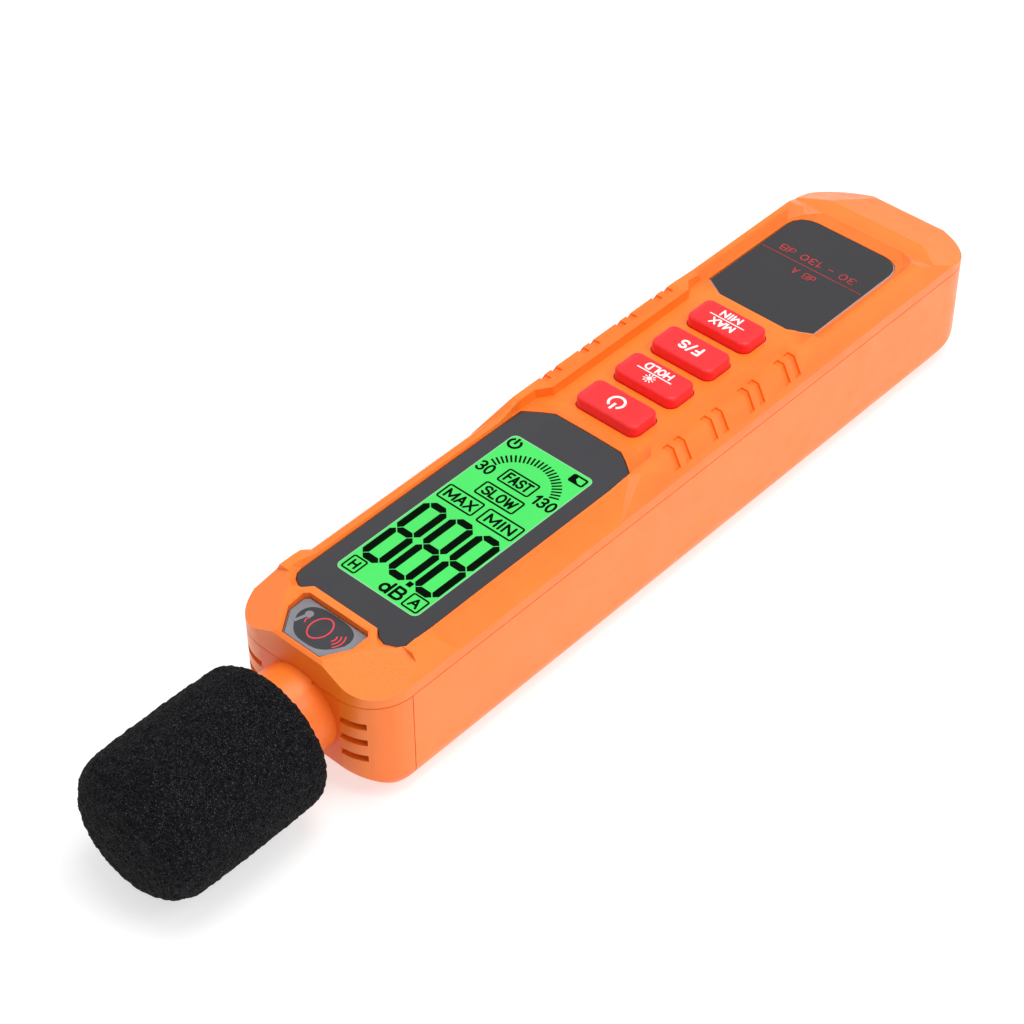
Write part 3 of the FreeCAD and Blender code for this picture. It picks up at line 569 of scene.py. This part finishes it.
for i in range(24):
    a = math.radians(180 - 21 - (180 - 42) * i / 23)
    cx, cy, r0 = 8.95, 33.4, 8.3
    L = 1.8
    seg.line((cx + (r0 - L) * math.cos(a), cy + (r0 - L) * math.sin(a)), (cx + r0 * math.cos(a), cy + r0 * math.sin(a)), 0.36)
seg.arc(1.5, 41.95, 1.15, 0.5, 120, 420, 30)
seg.line((1.5, 41.8), (1.5, 43.45), 0.5)
seg.frame_box(14.3, 41.0, 17.6, 43.2, 0.42, 0.5)
seg.poly([(14.7, 41.3), (16.5, 41.3), (15.5, 42.1), (15.5, 42.9), (14.7, 42.9)])
seg.done("lcd_segments", SEG, "case")


# ------------------------------------------------------------------ key legends, read from the tail
def key_frame(cy):
    return lambda p: (-p[0], cy - p[1])


zk = KEY_TOP + 0.012
k = Ink(zk, 0.03, key_frame(15.0))
k.arc(0, -0.1, 1.5, 0.5, 122, 418, 40)
k.line((0, 0.2), (0, 2.0), 0.5)
k.done("legend_power", INK, "key_power_cap")
k = Ink(zk, 0.03, key_frame(25.2))
k.text("HOLD", 0, -1.35, 1.9, 6.0, 0.36, 0.26)
k.line((-3.9, -0.02), (3.9, -0.02), 0.26)
k.disc(0, 1.32, 0.5)
for i in range(10):
    a = math.radians(36 * i + 18)
    k.line((0.66 * math.cos(a), 1.32 + 0.66 * math.sin(a)), (1.2 * math.cos(a), 1.32 + 1.2 * math.sin(a)), 0.22)
k.done("legend_hold", INK, "key_hold_cap")
k = Ink(zk, 0.03, key_frame(35.4))
k.text("F/S", 0, 0, 2.5, 4.9, 0.48, 0.3)
k.done("legend_fast_slow", INK, "key_fast_slow_cap")
k = Ink(zk, 0.03, key_frame(45.6))
k.text("MAX", 0, 1.38, 1.9, 5.2, 0.36, 0.24)
k.text("MIN", 0, -1.38, 1.9, 4.5, 0.36, 0.3)
k.line((-3.9, 0.0), (3.9, 0.0), 0.24)
k.done("legend_max_min", INK, "key_max_min_cap")

# ------------------------------------------------------------------ tail label: generic range marking in red
zl = LABEL_TOP + 0.012
k = Ink(zl, 0.02, key_frame(71.0))
k.text("30 - 130 dB", 0, -1.75, 1.9, 17.5, 0.24, 0.3)
k.line((-11.6, 0.3), (11.6, 0.3), 0.16)
k.text("dB A", 0, 2.6, 1.8, 5.2, 0.22, 0.3)
k.done("nameplate_range_marking", RINK, "case")

# ------------------------------------------------------------------ badge: grey surround, dark field, microphone, ring and sound arcs
zb = BADGE_TOP + 0.012
g = Ink(zb, 0.02)
g.poly([(-4.0, -61.75), (4.0, -61.75), (6.95, -57.5), (7.05, -54.25), (6.45, -53.6), (-6.45, -53.6), (-7.05, -54.25), (-6.95, -57.5)])
g.done("badge_surround_print", GREYINK, "case")
g = Ink(zb + 0.026, 0.02)
pts = []
for i in range(48):
    t = 2 * math.pi * i / 48
    c, s = math.cos(t), math.sin(t)
    x = 5.55 * math.copysign(abs(c) ** 0.62, c)
    y = -57.45 + 3.75 * math.copysign(abs(s) ** 0.7, s)
    x *= 1.0 - max(0.0, (-57.2 - y)) * 0.085
    pts.append((x, y))
g.poly(pts)
g.done("badge_dark_field_print", DARKINK, "case")
g = Ink(zb + 0.052, 0.02)
ring = [(-0.3 + 2.0 * math.cos(math.radians(a)), -57.3 + (2.3 + 0.35 * abs(math.sin(math.radians(a)))) * math.sin(math.radians(a))) for a in range(0, 360, 8)]
ring2 = [(-0.3 + (x + 0.3) * 0.87, -57.3 + (y + 57.3) * 0.88) for x, y in ring]
g.strip(ring, ring2)
for i, r in enumerate((1.1, 1.8, 2.5)):
    g.arc(2.2, -57.5, r, 0.24, -40, 40, 12)
g.arc(-2.6, -57.3, 0.9, 0.2, 130, 230, 8)
g.done("badge_red_print", RINK2, "case")
g = Ink(zb + 0.084, 0.02)
g.line((-4.75, -58.9), (-4.0, -56.6), 0.62)
g.disc(-3.9, -56.2, 0.75)
g.done("badge_microphone_print", GREYINK, "case")


# ------------------------------------------------------------------ foam windscreen
def smooth_noise(p, seed):
    """Sum of value noise on three lattices, -1..1."""
    rng = np.random.RandomState(seed)
    out = np.zeros(len(p))
    for size, amp in ((2.2, 0.22), (0.95, 0.45), (0.52, 0.75)):
        t = rng.rand(48, 48, 48)
        q = p / size + 500.0
        i = np.floor(q).astype(int)
        f = q - i
        f = f * f * (3 - 2 * f)
        v = 0
        for dx in (0, 1):
            for dy in (0, 1):
                for dz in (0, 1):
                    w = (f[:, 0] if dx else 1 - f[:, 0]) * (f[:, 1] if dy else 1 - f[:, 1]) * (f[:, 2] if dz else 1 - f[:, 2])
                    v = v + w * t[(i[:, 0] + dx) % 48, (i[:, 1] + dy) % 48, (i[:, 2] + dz) % 48]
        out += amp * (v * 2 - 1)
    return out


fb0, fb1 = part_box("foam_windscreen")
fy0, fy1 = fb0[1] * 1000, fb1[1] * 1000
fz = (fb0[2] + fb1[2]) * 500
FR = (fb1[2] - fb0[2]) * 500
prof = []                                    # (y, r, sideways share) outer line from the closed end to the collar end
RO = FR - 0.27
N1, N2, N3, N4 = 24, 38, 80, 22
for i in range(N1):                          # gently domed end face
    q = i / N1
    prof.append((fy0 + 0.27 + 0.7 * q ** 2.4, max(0.02, (RO - 6.6) * q), 1.0))
for i in range(N2):                          # rounded rim
    t = math.radians(90 * i / N2)
    prof.append((fy0 + 0.97 + 6.6 * (1 - math.cos(t)), RO - 6.6 + 6.6 * math.sin(t), 1.0))
ya, yb = fy0 + 7.57, fy1 - 3.75
for i in range(N3):
    q = i / N3
    prof.append((ya + (yb - ya) * q, RO + 0.14 * math.sin(math.pi * q), 1.0))
for i in range(N4 + 1):                      # rounded rim at the collar
    t = math.radians(90 * i / N4)
    prof.append((yb + 3.6 * math.sin(t), RO - 3.6 * (1 - math.cos(t)), 1.0))
RB = 6.46
for i in range(1, 7):
    prof.append((fy1 - 0.12, RO - 3.6 + (RB + 0.2 - RO + 3.6) * i / 6, 1.0 - i / 6))
NB = 24
for i in range(NB + 1):
    prof.append((fy1 - 0.35 - (fy1 - 0.35 + 90.35) * i / NB, RB, 0.0))
for i in range(1, 7):
    prof.append((-90.36, max(0.02, RB * (1 - i / 6)), 0.0))
NS = 320
share = np.repeat(np.array([q[2] for q in prof]), NS)
prof = [(q[0], q[1]) for q in prof]
P = np.array(prof)
CXO = (fb0[0] + fb1[0]) * 500
SX = (fb1[0] - fb0[0]) * 500 / FR
ang = np.linspace(0, 2 * np.pi, NS, endpoint=False)
Y = np.repeat(P[:, 0], NS)
R = np.repeat(P[:, 1], NS)
A = np.tile(ang, len(P))
pts = np.stack([R * np.cos(A) * (1 + (SX - 1) * share) + CXO * share, Y, fz + R * np.sin(A)], -1)
n_out = N1 + N2 + N3 + N4 + 1
amp = np.where(np.repeat(np.arange(len(P)), NS) < n_out + 3, 0.22, 0.0)
# displacement inwards/outwards along the outline's own normal
dP = np.gradient(P, axis=0)
nrm = np.stack([-dP[:, 1], dP[:, 0]], -1)
nrm /= np.linalg.norm(nrm, axis=1)[:, None] + 1e-9
ny = np.repeat(nrm[:, 0], NS)
nr = np.repeat(nrm[:, 1], NS)
nz = smooth_noise(pts, 7)
pts[:, 0] += amp * nz * nr * np.cos(A)
pts[:, 2] += amp * nz * nr * np.sin(A)
pts[:, 1] += amp * nz * ny
faces = []
for i in range(len(P) - 1):
    a = i * NS
    for j in range(NS):
        k2 = (j + 1) % NS
        faces.append((a + j, a + k2, a + NS + k2, a + NS + j))
c0, c1 = len(pts), len(pts) + 1
pts = np.vstack([pts, [[CXO, prof[0][0], fz], [0, -90.36, fz]]])
for j in range(NS):
    k2 = (j + 1) % NS
    faces.append((c0, k2, j))
    faces.append((c1, (len(P) - 1) * NS + j, (len(P) - 1) * NS + k2))
foam = mesh_obj("windscreen_foam", pts.tolist(), faces, FOAM, "windscreen", smooth=True)
bm = bmesh.new()
bm.from_mesh(foam.data)
bmesh.ops.recalc_face_normals(bm, faces=bm.faces)
bm.to_mesh(foam.data)
bm.free()
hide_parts("foam_windscreen")

# ------------------------------------------------------------------ floor, light, camera
fl = D.meshes.new("floor")
fl.from_pydata([(-3, -3, -0.0004), (3, -3, -0.0004), (3, 3, -0.0004), (-3, 3, -0.0004)], [], [(0, 1, 2, 3)])
floor = D.objects.new("floor", fl)
scene.collection.objects.link(floor)
fm = Mat("pale_floor", (0.5, 0.5, 0.5, 1), 0.8)
fm.b.inputs["Emission Color"].default_value = (1.0, 1.0, 1.0, 1.0)
fm.b.inputs["Emission Strength"].default_value = 0.58
fl.materials.append(fm.m)

w = D.worlds.new("studio")
scene.world = w
w.use_nodes = True
w.node_tree.nodes["Background"].inputs[0].default_value = (1.0, 1.0, 1.0, 1)
w.node_tree.nodes["Background"].inputs[1].default_value = 0.6


def area(name, loc, target, size, power):
    l = D.lights.new(name, "AREA")
    l.shape = "RECTANGLE"
    l.size, l.size_y = size
    l.energy = power
    o = D.objects.new(name, l)
    scene.collection.objects.link(o)
    o.location = loc
    o.rotation_euler = (Vector(target) - Vector(loc)).to_track_quat("-Z", "Y").to_euler()
    return o


area("key_soft", (0.52, 0.20, 0.64), (0, 0, 0.01), (0.34, 0.34), 1.7)
area("top_soft", (0.05, 0.12, 0.95), (0, 0, 0.01), (0.5, 0.5), 4.5)
area("side_soft", (0.75, 0.05, 0.35), (0, 0, 0.01), (0.5, 0.4), 0.4)
area("left_soft", (-0.6, -0.45, 0.55), (0, -0.03, 0.01), (0.3, 0.3), 0.15)

cam = D.cameras.new("photo_camera")
cam.sensor_width = 36.0
cam.lens = 92.15
cam.clip_start = 0.01
cam.clip_end = 20
co = D.objects.new("photo_camera", cam)
scene.collection.objects.link(co)
fwd = Vector((-0.498, 0.539, -0.679)).normalized()
down = Vector((0.455, -0.505, -0.734))
down = (down - fwd * down.dot(fwd)).normalized()
right = down.cross(fwd).normalized()
m = Matrix.Identity(4)
for i, v in enumerate((right, -down, -fwd)):
    for j in range(3):
        m[j][i] = v[j]
m.translation = Vector((0.223209, -0.2537, 0.3251))
co.matrix_world = m
scene.camera = co
